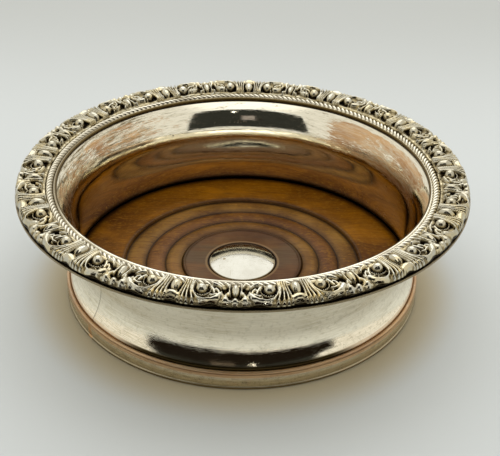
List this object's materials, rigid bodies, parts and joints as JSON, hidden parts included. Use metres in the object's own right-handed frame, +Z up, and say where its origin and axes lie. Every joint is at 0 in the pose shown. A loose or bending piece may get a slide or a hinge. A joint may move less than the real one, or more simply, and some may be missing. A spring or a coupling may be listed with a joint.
{
  "type": "wine bottle coaster",
  "caption": "Round wine bottle coaster: waisted plated metal wall with a foot band and a shell and scroll border on its brim, over a turned wooden base with a domed metal boss.",
  "frame": {"origin": "middle of the baize face that rests on the table", "axes": "+Z up along the axis of turning; one oval boss of the border lies towards +Y and one shell towards -Y, the side that the picture shows"},
  "size_m": [0.1756, 0.1756, 0.0521],
  "materials": {
    "plated_sheet": "polished silver plate, worn to copper on the lip",
    "plated_foot": "worn silver plate",
    "worn_copper": "silver plate worn through to copper",
    "plated_wire": "silver plate with tarnish in the nicks",
    "stamped_silver": "stamped silver with dark tarnish in the hollows",
    "solder": "dull grey solder",
    "turned_wood": "polished, old wax",
    "boss_silver": "polished, fine scratches",
    "brass": "dull brass",
    "pin_steel": "plain steel",
    "baize": "green wool baize"
  },
  "bodies": {
    "root": {"side_wall": "plated_sheet", "foot_band": "plated_foot", "foot_wire": "worn_copper", "bead_wire": "plated_wire", "milled_wire": "plated_wire", "rim_border": "stamped_silver", "border_solder": "solder", "wood_base": "turned_wood", "boss": "boss_silver", "boss_stem": "brass", "boss_washer": "brass", "boss_nut": "brass", "base_pins": "pin_steel", "baize": "baize"}
  },
  "joints": []
}
